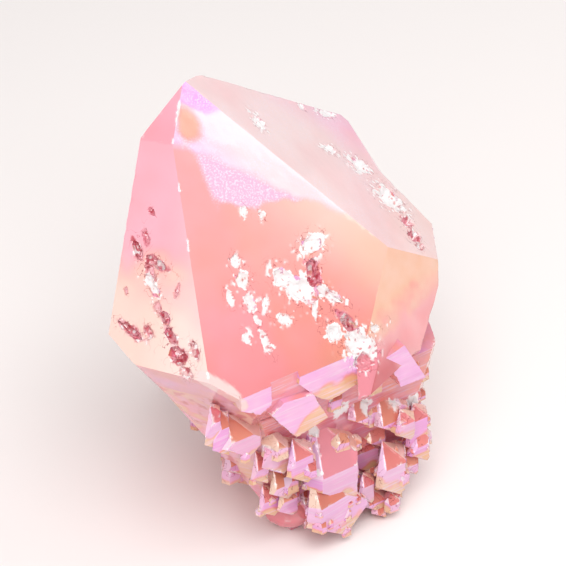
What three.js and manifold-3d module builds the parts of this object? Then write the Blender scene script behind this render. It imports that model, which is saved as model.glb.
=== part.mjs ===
// Aura quartz crystal: one broad quartz point, with smaller points grown parallel to it all round its foot,
// broken from its seat and standing on the break. Millimetres, +Z up, the front is -Y.
import * as THREE from "three";
import { ConvexGeometry } from "three/addons/geometries/ConvexGeometry.js";
import { mergeVertices } from "three/addons/utils/BufferGeometryUtils.js";
import Module from "manifold-3d";

const wasm = await Module();
wasm.setup();
const { Manifold, Mesh: Shell } = wasm;

// ---- Driving dimensions ----

const HEART = new THREE.Vector3(0, 0, 24); // the big crystal's faces are measured from here
const BASE_Z = 0; // the break that the crystal stands on

// The six sides of every crystal here, in order round it: the azimuth that the side looks to, in degrees
// from the front (-Y) towards +X, and how steeply the side's pyramid face looks upwards. The last side is
// one steep face from the tip to the foot.
const LEFT = { azimuth: -22, rise: 36.6 };
const FRONT = { azimuth: 34.5, rise: 40.3 };
const RIGHT = { azimuth: 93.4, rise: 49.4 };
const BACK_RIGHT = { azimuth: 166, rise: 50 };
const BACK = { azimuth: 214, rise: 42 };
const BACK_LEFT = { azimuth: 261, rise: 5 };
const SIDES = [LEFT, FRONT, RIGHT, BACK_RIGHT, BACK, BACK_LEFT];

const STEEP = 10; // a side that rises by less than this has no prism face of its own
const TAPER = -48; // how steeply a small crystal draws in under its sides, in degrees

// ---- Planes and solids ----

// A unit vector that looks to an azimuth and rises by an elevation, both in degrees.
function looking(azimuth, elevation) {
  const a = THREE.MathUtils.degToRad(azimuth);
  const e = THREE.MathUtils.degToRad(elevation);
  return new THREE.Vector3(Math.sin(a) * Math.cos(e), -Math.cos(a) * Math.cos(e), Math.sin(e));
}

// A face is the plane at a distance from a point, with its outward normal.
function face(azimuth, elevation, distance, from = HEART) {
  const normal = looking(azimuth, elevation);
  return new THREE.Plane(normal, -(normal.dot(from) + distance));
}

// The point where three planes meet, or null where two of them are parallel.
function meeting(a, b, c) {
  const bc = new THREE.Vector3().crossVectors(b.normal, c.normal);
  const size = a.normal.dot(bc);
  if (Math.abs(size) < 1e-6) return null;
  const ca = new THREE.Vector3().crossVectors(c.normal, a.normal);
  const ab = new THREE.Vector3().crossVectors(a.normal, b.normal);
  bc.multiplyScalar(-a.constant).addScaledVector(ca, -b.constant).addScaledVector(ab, -c.constant);
  return bc.divideScalar(size);
}

// A closed three.js geometry as a manifold-3d solid.
function solidOf(geometry) {
  const bare = new THREE.BufferGeometry().setAttribute("position", geometry.getAttribute("position"));
  bare.setIndex(geometry.index);
  const merged = mergeVertices(bare, 1e-4);
  return new Manifold(new Shell({
    numProp: 3,
    vertProperties: merged.attributes.position.array,
    triVerts: new Uint32Array(merged.index.array),
  }));
}

// The convex solid that a list of faces encloses.
function enclosed(faces) {
  const corners = [];
  for (let i = 0; i < faces.length; i++) {
    for (let j = i + 1; j < faces.length; j++) {
      for (let k = j + 1; k < faces.length; k++) {
        const p = meeting(faces[i], faces[j], faces[k]);
        if (!p || faces.some((f) => f.distanceToPoint(p) > 1e-5)) continue;
        if (!corners.some((q) => q.distanceTo(p) < 1e-3)) corners.push(p);
      }
    }
  }
  return solidOf(new ConvexGeometry(corners));
}

// Repeatable random numbers from 0 to 1.
function randomFrom(seed) {
  let state = seed;
  return () => {
    state = (state * 1664525 + 1013904223) % 4294967296;
    return state / 4294967296;
  };
}

// A crystal parallel to the big one, or turned a little. Its tip is at a point, its sides stand at their
// own distances from the tip's axis (the ones not given at `behind`), and it tapers to an end that is
// `length` lower than the tip and half way along its width.
function parallelCrystal({ tip, sides, behind = 3, length, turn = 0 }) {
  const top = new THREE.Vector3(...tip);
  const low = top.clone().addScaledVector(looking(RIGHT.azimuth, 0), sides[2] / 2);
  low.z -= length;
  const faces = [];
  SIDES.forEach(({ azimuth, rise }, i) => {
    faces.push(face(azimuth + turn, rise, 0, top));
    if (rise > STEEP) faces.push(face(azimuth + turn, 0, sides[i] ?? behind, top));
    if (i % 2 === 0) faces.push(face(azimuth + turn, TAPER, 0, low));
  });
  return enclosed(faces);
}

// ---- The big crystal ----

// How far out from HEART the three front pyramid faces are, and the upright prism faces under two of them.
const LEFT_OUT = 25.78;
const FRONT_OUT = 16.93;
const RIGHT_OUT = 18.02;
const FRONT_PRISM_OUT = 17.4;
const RIGHT_PRISM_OUT = 19.2;

// Two faces that the big crystal shares with its shoulder.
const RIDGE_END = face(56, 22, 17.2); // a steep bevel where the ridge between front and right runs out
const UNDER_RIGHT = face(93, -30, 14.5); // the draw-in under the right-hand side

const pointFaces = [
  // The three in front, with the flatter heads of two of them at the tip.
  face(LEFT.azimuth, LEFT.rise, LEFT_OUT),
  face(-22.7, 52.9, 29.58),
  face(FRONT.azimuth, FRONT.rise, FRONT_OUT),
  face(37.2, 42.5, 17.34),
  face(RIGHT.azimuth, RIGHT.rise, RIGHT_OUT),
  RIDGE_END,
  face(108, 28, 19.5), // a bevel along the right-hand pyramid face
  // The three behind.
  face(BACK_RIGHT.azimuth, BACK_RIGHT.rise, 25.75),
  face(BACK.azimuth, BACK.rise, 28.2),
  face(BACK_LEFT.azimuth, BACK_LEFT.rise, 18.5),
  face(240, 24.5, 23.3), // the one that blunts the tip on the left
  // The short prism.
  face(6, 3, 24.3), // a narrow facet between left and front
  face(FRONT.azimuth, 0, FRONT_PRISM_OUT),
  face(RIGHT.azimuth, 0, RIGHT_PRISM_OUT),
  face(BACK_RIGHT.azimuth, 0, 20.4),
  face(BACK.azimuth, 0, 18),
  // The draw-in under it, down to the foot.
  face(-62, -33, 17.2),
  face(-22, -30, 19.0),
  face(34, -35, 13.5),
  UNDER_RIGHT,
  face(154, -30, 18.0),
  face(214, -30, 18.0),
];

// A shoulder that stands out beyond the bevel on the right, under the same pyramid face.
const shoulderFaces = [
  face(RIGHT.azimuth, RIGHT.rise, RIGHT_OUT),
  face(RIGHT.azimuth, 0, RIGHT_PRISM_OUT + 0.1),
  face(150, 0, 16.6),
  face(FRONT.azimuth, FRONT.rise, FRONT_OUT - 1.4),
  RIDGE_END,
  UNDER_RIGHT,
  face(RIGHT.azimuth + 180, 0, -8), // its root, inside the big crystal
  face(0, -90, 0),
];

// The foot, under the small crystals that cover it.
const footFaces = [
  face(FRONT.azimuth, -6, 15.2),
  face(-22, -16, 19.4),
  face(-62, -31, 17.7),
  face(70, -12, 19.4),
  face(64, -28, 23.0),
  face(100, -8, 18.2),
  face(154, -20, 16),
  face(214, -24, 15),
  face(272, -30, 15),
  face(0, 90, -2), // its top, inside the big crystal
  face(0, -90, 24), // the break
];

// How far out a solid's surface is at a height, looking to an azimuth from the upright axis through HEART.
function reach(faces, azimuth, z) {
  const out = looking(azimuth, 0);
  const start = new THREE.Vector3(0, 0, z);
  if (faces.some((f) => f.distanceToPoint(start) > 0)) return 0;
  const hits = faces.map((f) => -f.distanceToPoint(start) / f.normal.dot(out)).filter((t) => t > 0);
  return Math.min(...hits);
}

// ---- The crystals grown beside it ----

// The ones that show best, round the front: their tips, and how far their left, front and right sides are
// from the tip's axis.
const GROWN = [
  { tip: [-6.7, -21.7, 24.5], sides: [3.0, 2.3, 4], length: 6.6 },
  { tip: [-1.9, -19.1, 19.5], sides: [2.9, 1.6, 3.2], length: 6.5 },
  { tip: [1.1, -18.5, 18.2], sides: [2.2, 1.9, 2.6], length: 7 },
  { tip: [3.8, -13.5, 17.4], sides: [4.4, 4.9, 5.4], length: 13 },
  { tip: [3.5, -16.8, 11.5], sides: [2.7, 3.2, 7.9], length: 10.6, turn: 8 },
  { tip: [-8.7, -23.0, 27.2], sides: [2.9, 1.6, 1.2], length: 7 },
  { tip: [-7.7, -22.5, 25.9], sides: [2.9, 1.6, 1.2], length: 7 },
  { tip: [-3.4, -18.6, 16.2], sides: [2.2, 1.6, 1.6], length: 5 },
  { tip: [-1.2, -17.6, 12.8], sides: [2.2, 1.8, 2.4], length: 5 },
  { tip: [-2.6, -17.6, 10.0], sides: [1.9, 1.5, 2], length: 5 },
  { tip: [-0.2, -17.3, 9.8], sides: [1.9, 1.5, 2], length: 5 },
  { tip: [12.4, -11.1, 11.6], sides: [2.6, 2.4, 3], length: 8.5 },
  { tip: [13.6, -10.6, 5.4], sides: [2.0, 1.8, 1.2], length: 5 },
  { tip: [11.6, -11.4, 3.5], sides: [2.2, 2.0, 1.4], length: 4 },
  { tip: [15.3, -8.2, 8.9], sides: [2.4, 2, 1.8], length: 5 },
  { tip: [10.5, -11.7, 5.1], sides: [2, 1.8, 3], length: 4.5 },
  { tip: [13.9, -8.6, 6.4], sides: [2.4, 1.8, 1.3], length: 6 },
  { tip: [9.9, -12.7, 7.9], sides: [1.6, 1.3, 1.6], length: 5 },
  { tip: [14.5, -9.6, 15.7], sides: [1.6, 1.5, 2], length: 5 },
  { tip: [11.9, -8.6, 17.1], sides: [2.6, 2.6, 3], length: 6 },
  { tip: [8.5, -10.9, 19.2], sides: [2, 2.4, 2], length: 5 },
  { tip: [16.2, -7.2, 14.7], sides: [2, 1.6, 2], length: 8 },
  { tip: [16.6, -7.7, 11.3], sides: [2, 1.8, 1.9], length: 5.5 },
];

// The small ones that fill the rest of the foot, in rows one above another: higher up the front, where the
// foot is drawn in under the big crystal, than round the back.
const ROWS = { from: 2.5, to: 18, apart: 4.6 };
const FRONT_SPAN = { from: -10, to: 75 };
const BACK_TOP = 16;

// How far apart they are in degrees, their reach and length, how far they stand out of the foot, how much of
// their reach is sunk in it, and how clear their tips keep of the larger ones'.
const FILL = { apart: 17, reach: 2.6, length: 6, proud: 0.5, sunk: 0.8, clear: 3.2 };

function filling() {
  const random = randomFrom(7);
  const spread = (around, by) => around * (1 - by + 2 * by * random());
  const crystals = [];
  for (let z = ROWS.from; z <= ROWS.to; z += ROWS.apart) {
    for (let azimuth = -180 + FILL.apart * random(); azimuth < 180; azimuth += spread(FILL.apart, 0.3)) {
      const height = z + ROWS.apart * (random() - 0.5);
      const size = spread(FILL.reach, 0.37);
      const inFront = azimuth > FRONT_SPAN.from && azimuth < FRONT_SPAN.to;
      if (!inFront && height > BACK_TOP) continue;
      const above = inFront ? 0 : reach(pointFaces, azimuth, height);
      const surface = Math.max(reach(footFaces, azimuth, height), above);
      const out = surface + FILL.proud - FILL.sunk * size;
      const tip = looking(azimuth, 0).multiplyScalar(out).setZ(height + size);
      if (GROWN.some((other) => tip.distanceTo(new THREE.Vector3(...other.tip)) < FILL.clear)) continue;
      crystals.push({
        tip: tip.toArray(),
        sides: SIDES.map(() => spread(size, 0.3)),
        length: spread(FILL.length, 0.25),
        turn: 8 * (random() - 0.5),
      });
    }
  }
  return crystals;
}

// The one rounded lump, at the front of the foot.
const LUMP = { at: [0.8, -14.2, 3], radii: [3.4, 2.4, 2.4] };
const lump = new THREE.IcosahedronGeometry(1, 1).scale(...LUMP.radii).translate(...LUMP.at);

// ---- The terraces ----

// The flat steps that the growth left on the front prism face. Each has its outline, across and up that face
// from the foot of the face's normal, and how far it stands out of it. The front pyramid face cuts their tops.
const TERRACES = [
  { outline: [[-18.2, 3.4], [-15.4, 1.6], [-13.7, 2.4], [-13.9, 9], [-18.2, 9]], proud: 0.3 },
  { outline: [[-14.3, 1.3], [-10.6, -3.8], [-5.9, -2.7], [-8.1, 2.0], [-12.4, 2.5]], proud: 0.9 },
  { outline: [[-10.0, 4.0], [-7.1, 0.5], [-5.0, -0.7], [-0.8, 0.4], [-1.3, 9], [-9.6, 9]], proud: 0.5 },
  { outline: [[3.0, 2.2], [5.4, -3.4], [9.3, -3.6], [5.8, 3.0]], proud: 0.4 },
];

const TERRACE_ROOT = 6; // how deep they go into the big crystal

function terrace({ outline, proud }) {
  const shape = new THREE.Shape(outline.map(([across, up]) => new THREE.Vector2(across, up)));
  const slab = new THREE.ExtrudeGeometry(shape, { depth: TERRACE_ROOT + proud, bevelEnabled: false });
  const out = looking(FRONT.azimuth, 0);
  const across = looking(FRONT.azimuth + 90, 0);
  const up = new THREE.Vector3(0, 0, 1);
  const root = HEART.clone().addScaledVector(out, FRONT_PRISM_OUT - TERRACE_ROOT);
  slab.applyMatrix4(new THREE.Matrix4().makeBasis(across, up, out).setPosition(root));
  const { normal, constant } = face(FRONT.azimuth, FRONT.rise, FRONT_OUT);
  return solidOf(slab).trimByPlane(normal.negate().toArray(), constant);
}

// ---- Chips and pits ----

const FRONT_PRISM = { azimuth: FRONT.azimuth, rise: 0 };

// Each is a faceted hollow in one of the three front faces: its middle, across and up the face from the
// foot of the face's normal, its half length and half width, how its length is turned, and its depth.
const CHIPS = [
  { side: FRONT, out: FRONT_OUT, at: [-1.9, 6.4], size: [1.6, 1.1], turn: 7, deep: 0.8 },
  { side: FRONT, out: FRONT_OUT, at: [-3.0, 3.3], size: [1.9, 0.9], turn: 71, deep: 2.0 },
  { side: FRONT, out: FRONT_OUT, at: [-7.0, 4.0], size: [1.6, 1.0], turn: -59, deep: 1.0 },
  { side: FRONT, out: FRONT_OUT, at: [-5.2, 1.8], size: [2.6, 1.4], turn: -44, deep: 1.1 },
  { side: FRONT, out: FRONT_OUT, at: [-2.0, 0.1], size: [2.1, 0.6], turn: -48, deep: 0.9 },
  { side: FRONT, out: FRONT_OUT, at: [-12.2, 5.6], size: [1.1, 0.9], turn: 88, deep: 0.7 },
  { side: FRONT, out: FRONT_OUT, at: [-12.4, 2.8], size: [1.2, 0.7], turn: 99, deep: 0.7 },
  { side: FRONT, out: FRONT_OUT, at: [-3.4, -4.4], size: [1.1, 1.0], turn: -20, deep: 1.0 },
  { side: FRONT, out: FRONT_OUT, at: [-0.7, -7.0], size: [2.3, 1.6], turn: -49, deep: 1.1 },
  { side: FRONT, out: FRONT_OUT, at: [-0.9, -4.7], size: [1.7, 0.7], turn: -64, deep: 1.6 },
  { side: FRONT, out: FRONT_OUT, at: [5.8, -6.5], size: [0.9, 0.6], turn: -39, deep: 0.8 },
  { side: FRONT_PRISM, out: FRONT_PRISM_OUT, at: [2.6, -2.4], size: [2.9, 1.8], turn: -10, deep: 3 },
  { side: LEFT, out: LEFT_OUT, at: [-11.2, 3.8], size: [1.4, 0.5], turn: 125, deep: 0.9 },
  { side: LEFT, out: LEFT_OUT, at: [-8.6, 2.9], size: [1.6, 0.6], turn: -20, deep: 1.3 },
  { side: LEFT, out: LEFT_OUT, at: [-8.4, 0.0], size: [1.8, 0.6], turn: -43, deep: 0.7 },
  { side: LEFT, out: LEFT_OUT, at: [-5.9, -3.3], size: [1.0, 0.5], turn: -55, deep: 1.0 },
  { side: LEFT, out: LEFT_OUT, at: [-4.7, -5.2], size: [1.2, 0.5], turn: -45, deep: 1.0 },
  { side: LEFT, out: LEFT_OUT, at: [-3.3, -7.3], size: [1.5, 0.9], turn: -35, deep: 1.2 },
  { side: LEFT, out: LEFT_OUT, at: [-9.9, -5.7], size: [2.1, 0.5], turn: -23, deep: 1.0 },
  { side: RIGHT, out: RIGHT_OUT, at: [9.3, 2.0], size: [1.8, 1.2], turn: -73, deep: 0.6 },
  { side: RIGHT, out: RIGHT_OUT, at: [6.2, -2.7], size: [2.2, 1.9], turn: -73, deep: 0.9 },
  { side: RIGHT, out: RIGHT_OUT, at: [3.4, -5.3], size: [0.9, 1.3], turn: -129, deep: 0.9 },
  { side: RIGHT, out: RIGHT_OUT, at: [1.2, -6.2], size: [1.0, 1.3], turn: -129, deep: 1.0 },
];

const CORNERS_OUT = 1.1; // a faceted hollow is drawn a little larger than the smooth one that it stands for

function chip({ side, out, at, size, turn, deep }) {
  const normal = looking(side.azimuth, side.rise);
  const across = looking(side.azimuth + 90, 0);
  const up = new THREE.Vector3().crossVectors(across, normal).negate();
  const middle = HEART.clone().addScaledVector(normal, out);
  middle.addScaledVector(across, at[0]).addScaledVector(up, at[1]);
  const hollow = new THREE.IcosahedronGeometry(1, 0);
  hollow.scale(size[0] * CORNERS_OUT, size[1] * CORNERS_OUT, deep);
  hollow.rotateZ(THREE.MathUtils.degToRad(turn));
  hollow.applyMatrix4(new THREE.Matrix4().makeBasis(across, up, normal).setPosition(middle));
  return solidOf(hollow);
}

// ---- The whole crystal ----

const big = [pointFaces, shoulderFaces, footFaces].map(enclosed);
const grown = [...GROWN, ...filling()].map(parallelCrystal);
const whole = Manifold.union([...big, solidOf(lump), ...grown, ...TERRACES.map(terrace)]);
const chipped = whole.subtract(Manifold.union(CHIPS.map(chip)));
const standing = chipped.trimByPlane([0, 0, 1], BASE_Z);

// The origin is on the break, under the middle of the whole.
const { min, max } = standing.boundingBox();
const centred = standing.translate([-(min[0] + max[0]) / 2, -(min[1] + max[1]) / 2, 0]);

const mesh = centred.getMesh();
const geometry = new THREE.BufferGeometry();
geometry.setAttribute("position", new THREE.BufferAttribute(mesh.vertProperties, 3));
geometry.setIndex(new THREE.BufferAttribute(mesh.triVerts, 1));

const film = new THREE.MeshStandardMaterial({ color: "#ee8f8c", roughness: 0.25, metalness: 0 });
const crystal = new THREE.Mesh(geometry, film);
crystal.name = "quartz_crystal";

const part = new THREE.Group();
part.add(crystal);

export default part;
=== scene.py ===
# %% [markdown]
# # Aura quartz crystal
# One broad point of clear quartz, with a skirt of small parallel points round its foot. Quartz grows flat
# faces, and breaks with shell-like chips. The crystal was coated hot, in a vacuum, with a film of metal a
# few hundred atoms thick, and the film's colour changes from face to face.

import math
from itertools import combinations, product

import bmesh
import bpy
import numpy as np
from mathutils.geometry import delaunay_2d_cdt
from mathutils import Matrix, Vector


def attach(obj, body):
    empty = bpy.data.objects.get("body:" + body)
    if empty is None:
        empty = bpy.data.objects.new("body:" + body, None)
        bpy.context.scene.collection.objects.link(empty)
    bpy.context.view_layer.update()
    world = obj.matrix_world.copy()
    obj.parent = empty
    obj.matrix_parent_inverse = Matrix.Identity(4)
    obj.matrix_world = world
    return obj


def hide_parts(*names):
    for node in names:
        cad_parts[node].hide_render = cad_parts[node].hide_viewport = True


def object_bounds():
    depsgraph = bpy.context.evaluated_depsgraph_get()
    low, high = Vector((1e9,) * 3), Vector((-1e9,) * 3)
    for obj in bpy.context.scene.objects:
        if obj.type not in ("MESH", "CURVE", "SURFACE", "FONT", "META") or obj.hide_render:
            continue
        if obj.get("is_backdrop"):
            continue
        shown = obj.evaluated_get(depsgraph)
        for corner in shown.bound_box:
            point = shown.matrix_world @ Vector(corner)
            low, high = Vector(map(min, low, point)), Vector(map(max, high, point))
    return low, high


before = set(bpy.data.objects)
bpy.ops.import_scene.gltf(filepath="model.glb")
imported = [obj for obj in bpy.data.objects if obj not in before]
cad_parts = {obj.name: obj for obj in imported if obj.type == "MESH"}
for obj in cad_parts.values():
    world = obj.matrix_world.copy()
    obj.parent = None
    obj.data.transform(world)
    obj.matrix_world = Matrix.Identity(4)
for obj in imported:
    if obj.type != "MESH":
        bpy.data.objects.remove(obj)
cad_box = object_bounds()
print("CAD box, m:", cad_box)

# %% [markdown]
# ## Where the faces are
# The big crystal's faces are planes round one point inside it, the heart. A face is given by the azimuth
# that it looks to, from the front towards the right, how steeply it looks upwards, and how far out it is.
# The solid was built from these same values, so a chip that is placed on a face here lies in the solid's
# own face.

# %% Faces
MM = 0.001  # Blender counts in metres
HEART = np.array([0.706, 2.136, 24.0])  # mm, in the part's frame
LEFT = (-22.0, 36.6, 25.78)  # azimuth and rise in degrees, distance in mm
LEFT_HEAD = (-22.7, 52.9, 29.58)
FRONT = (34.5, 40.3, 16.93)
FRONT_HEAD = (37.2, 42.5, 17.34)
RIGHT = (93.4, 49.4, 18.02)
RIDGE_END = (56.0, 22.0, 17.2)  # a bevel under the ridge between front and right
PRISM = (34.5, 0.0, 17.4)  # the upright face under the front one
NARROW = (6.0, 3.0, 24.3)  # between left and front


def looking(azimuth, rise):
    """A unit vector: the horizontal part is the rise's cosine, turned to the azimuth from -Y towards +X."""
    a, e = np.radians(azimuth), np.radians(rise)
    return np.stack([np.sin(a) * np.cos(e), -np.cos(a) * np.cos(e), np.sin(e) + 0 * a], axis=-1)


def on_face(points, side):
    """Coordinates in a face: across it, up it and out of it, from the foot of its normal from the heart."""
    azimuth, rise, out = side
    normal = looking(azimuth, rise)
    across = looking(azimuth + 90, 0)
    up = np.cross(normal, across)
    flat = points - HEART
    return flat @ across, flat @ up, flat @ normal - out


for name, side in {"left": LEFT, "front": FRONT, "right": RIGHT}.items():
    print(name, "face looks along", looking(*side[:2]).round(3))

# %% [markdown]
# ## The solid's skin
# A CAD mesh is loose triangles. Here they become whole arrays: the corners, with the ones at the same place
# merged, and three corner numbers for each triangle. Everything below works on such arrays.


# %% Reading and merging
def merged(corners, tolerance=1e-4):
    """Corners that round to the same place become one. Triangles that lose a corner that way are dropped."""
    rounded = (corners / tolerance).round().astype(np.int64)
    _, first, back = np.unique(rounded, axis=0, return_index=True, return_inverse=True)
    triangles = back.reshape(-1, 3)
    a, b, c = triangles.T
    return corners[first], triangles[(a != b) & (b != c) & (c != a)]


def skin_of(mesh):
    """The corners of a Blender mesh, and its triangles as three corner numbers each."""
    mesh.calc_loop_triangles()
    places = np.empty(len(mesh.vertices) * 3)
    mesh.vertices.foreach_get("co", places)
    corners = np.empty(len(mesh.loop_triangles) * 3, dtype=np.int32)
    mesh.loop_triangles.foreach_get("vertices", corners)
    return places.reshape(-1, 3), corners.reshape(-1, 3)


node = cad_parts["quartz_crystal"]
places, corners = skin_of(node.data)
points, triangles = merged(places[corners.ravel()] / MM)
print(len(points), "corners and", len(triangles), "triangles")

# %% [markdown]
# ## Flat facets
# A crystal is read by its facets, so the triangles that lie in one plane are gathered: two neighbours
# belong together when their normals agree. The numbers spread from triangle to triangle until nothing
# changes.


# %% Gathering facets
def normals_of(points, triangles):
    """Each triangle's normal, from the cross product of two sides, and its area."""
    a, b, c = (points[triangles[:, k]] for k in range(3))
    cross = np.cross(b - a, c - a)
    size = np.linalg.norm(cross, axis=1)
    return cross / np.maximum(size, 1e-12)[:, None], size / 2


def edges_of(mesh):
    """For each edge of a closed mesh, its two corners and the two faces beside it."""
    corners = np.empty(len(mesh.edges) * 2, dtype=np.int32)
    face_size = np.empty(len(mesh.polygons), dtype=np.int32)
    mesh.edges.foreach_get("vertices", corners)
    mesh.polygons.foreach_get("loop_total", face_size)
    edge = np.empty(len(mesh.loops), dtype=np.int32)
    mesh.loops.foreach_get("edge_index", edge)
    order = np.argsort(edge, kind="stable")
    owner = np.repeat(np.arange(len(face_size)), face_size)[order]
    return corners.reshape(-1, 2)[edge[order[::2]]], owner[::2], owner[1::2]


def gathered(count, one, two):
    """Group numbers for things that are joined in pairs: each takes the lowest number that it can reach."""
    label = np.arange(count)
    while True:
        low = label.copy()
        np.minimum.at(low, one, label[two])
        np.minimum.at(low, two, label[one])
        low = low[low]
        if (low == label).all():
            return np.unique(label, return_inverse=True)[1]
        label = low


# %% [markdown]
# ## The smallest points
# Between the small points that the solid already has, the foot is crusted with about a hundred that are
# smaller. They all grew parallel to the big one, so each is the space inside the same faces, with its own
# distances. Its corners are where three faces meet and no other face cuts them off. Copies set on the skin
# would be quicker, but their hidden parts would stay inside the stone and show through it. So a Boolean
# modifier joins them all with a copy of the solid's skin, and the crystal stays one closed piece.

# %% Where the smallest points stand
CRUST_TOP = 22.5  # mm above the floor
CRUST_COUNT = 480  # how many are tried: the ones that crowd each other are dropped
CRUST_SIZE = (0.45, 1.5)  # mm, from the middle of a prism to its faces
SUNK = 0.45  # how far the middle lies under the skin, as a share of that size
PRISM_RISE = 2.0  # degrees that a point's sides look upwards
HEAD_FACES = [  # the azimuth and rise, in degrees, of the six faces that end each point
    (-22.0, 36.6), (34.5, 40.3), (93.4, 49.4), (154.0, 50.0), (214.0, 42.0), (274.0, 46.0)
]
LUMP_MIDDLE, LUMP_RADII = (1.5, -12.1, 3.0), (3.4, 2.4, 2.4)  # mm: a smooth lump in front, left bare
crust_random = np.random.default_rng(3)


def crust_places(points, triangles):
    """Points spread over the foot's skin by area, more of them in front, none on the big faces, the terraces,
    the heads or the underside, and each clear of the ones before it. Also gives the size of each."""
    a, b, c = (points[triangles[:, k]] for k in range(3))
    normals, areas = normals_of(points, triangles)
    middle = (a + b + c) / 3
    in_front = normals @ looking(25.0, 20.0)
    drawn_in = (normals @ looking(45.0, -25.0) > 0.8) & (middle[:, 2] > 10)  # the slope under the prism
    wanted = (middle[:, 2] < CRUST_TOP + 6) & ((normals[:, 2] > -0.12) | drawn_in)
    for side in (LEFT, FRONT, RIGHT, PRISM, RIDGE_END):
        wanted &= (np.abs(on_face(middle, side)[2]) > 1.0) | (normals @ looking(*side[:2]) < 0.99)
    for side in (FRONT, LEFT):
        wanted &= normals @ looking(*side[:2]) < 0.97
    wanted &= np.linalg.norm((middle - LUMP_MIDDLE) / LUMP_RADII, axis=1) > 1.15
    weight = areas * wanted * (0.35 + np.clip(in_front, 0, 1) + 1.5 * drawn_in)
    on_a_prism = normals @ looking(FRONT[0], PRISM_RISE) > 0.99
    weight *= np.where(on_a_prism, 0.25, 1.0)  # few stand on the front of larger points
    chosen = crust_random.choice(len(triangles), CRUST_COUNT, p=weight / weight.sum())
    share = np.sort(crust_random.uniform(0, 1, (CRUST_COUNT, 2)), axis=1)
    s, t = share[:, :1], share[:, 1:] - share[:, :1]
    spot = a[chosen] + s * (b - a)[chosen] + t * (c - a)[chosen]
    size = CRUST_SIZE[0] + (CRUST_SIZE[1] - CRUST_SIZE[0]) * crust_random.uniform(0, 1, CRUST_COUNT) ** 1.6
    size *= np.where(drawn_in[chosen], 1.3, 1.0)
    gap = np.linalg.norm(spot[:, None] - spot[None], axis=2) / (size[:, None] + size[None])
    crowded = np.tril(gap < 1.15, -1).any(axis=1)
    keep = ~crowded & (spot[:, 2] < CRUST_TOP) & (spot[:, 2] > 1.5)
    return (spot - normals[chosen] * size[:, None] * SUNK)[keep], size[keep]


def small_point(middle, size):
    """The corners of one small point: six prism faces and six head faces, each at its own distance from its
    middle, and a flat end inside the solid."""
    turned = FRONT[0] + 60.0 * np.arange(6) + crust_random.normal(0, 3)
    prism = looking(turned, np.full(6, PRISM_RISE))
    head = looking(*(np.array(HEAD_FACES).T + crust_random.normal(0, 3, (2, 1))))
    faces = np.vstack([prism, head, [[0.0, 0.0, -1.0]]])
    prism_out, head_out = crust_random.uniform(0.75, 1.25, 6), crust_random.uniform(0.7, 1.2, 6)
    out = size * np.concatenate([prism_out, head_out, [1.1]])
    trios = np.array(list(combinations(range(len(out)), 3)))
    trios = trios[np.abs(np.linalg.det(faces[trios])) > 1e-3]
    corners = np.linalg.solve(faces[trios], out[trios][:, :, None])[:, :, 0]
    return middle + corners[(corners @ faces.T <= out + 1e-9).all(axis=1)]


# %% The crust as one mesh
def placed(name, data):
    """A new object that shows some data, such as a mesh, and is linked to the scene."""
    thing = bpy.data.objects.new(name, data)
    bpy.context.scene.collection.objects.link(thing)
    return thing


def numbered(mesh, first=0):
    """The mesh, with its faces numbered from `first` in an attribute that is named "source"."""
    layer = mesh.attributes.new("source", "INT", "FACE")
    layer.data.foreach_set("value", np.arange(first, first + len(mesh.polygons), dtype=np.int32))
    return mesh


shell = bmesh.new()
count = 0
for spot, size in zip(*crust_places(points, triangles)):
    corners = small_point(spot, size)
    in_box = (corners > points.min(axis=0) + 0.05).all() and (corners < points.max(axis=0) - 0.05).all()
    in_foot = corners[:, 0].min() > -12 or corners[:, 2].max() < 16  # the left side is bare above the foot
    if in_box and in_foot:
        bmesh.ops.convex_hull(shell, input=[shell.verts.new(corner) for corner in corners])
        count += 1
bmesh.ops.recalc_face_normals(shell, faces=shell.faces)
crust_mesh = bpy.data.meshes.new("crust")
shell.to_mesh(crust_mesh)
shell.free()
print(count, "of the smallest points")

# %% [markdown]
# A Boolean leaves hair-thin triangles where a flat cut meets a flat face, and their normals can't be
# trusted. So every face carries its number through the Boolean, in an attribute, and each new triangle
# takes the normal of the face that it was cut from.

# %% Joining the crust with the skin
crust_points, crust_triangles = skin_of(crust_mesh)
source_normals = np.vstack([normals_of(points, triangles)[0], normals_of(crust_points, crust_triangles)[0]])
skin_mesh = bpy.data.meshes.new("joined")
skin_mesh.from_pydata(points.tolist(), [], triangles.tolist())
joined = placed("joined", numbered(skin_mesh))
crust_thing = placed("crust", numbered(crust_mesh, first=len(triangles)))
union = joined.modifiers.new("crust", "BOOLEAN")
union.operation, union.solver, union.use_self, union.object = "UNION", "EXACT", True, crust_thing
whole = joined.evaluated_get(bpy.context.evaluated_depsgraph_get()).to_mesh()
points, triangles = skin_of(whole)
sides, one, two = edges_of(whole)
face = np.empty(len(triangles), dtype=np.int32)
source = np.empty(len(whole.polygons), dtype=np.int32)
face_area = np.empty(len(whole.polygons))
whole.loop_triangles.foreach_get("polygon_index", face)
whole.attributes["source"].data.foreach_get("value", source)
whole.polygons.foreach_get("area", face_area)
for mesh in (skin_mesh, crust_mesh):
    bpy.data.meshes.remove(mesh)
print(len(points), "corners and", len(source), "faces after the union")

# %% The facets
SAME_PLANE = 0.9998  # the cosine of about one degree
normals = source_normals[source]
flat = (normals[one] * normals[two]).sum(axis=1) > SAME_PLANE
labels = gathered(len(normals), one[flat], two[flat])
area_of = np.bincount(labels, face_area)
normal_of = np.stack([np.bincount(labels, normals[:, k] * face_area) for k in range(3)], axis=1)
normal_of /= np.linalg.norm(normal_of, axis=1)[:, None]
outline = labels[one] != labels[two]
sides, beside = sides[outline], labels[np.column_stack([one, two])[outline]]
print(len(area_of), "facets, and", len(sides), "edges between them")

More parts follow.
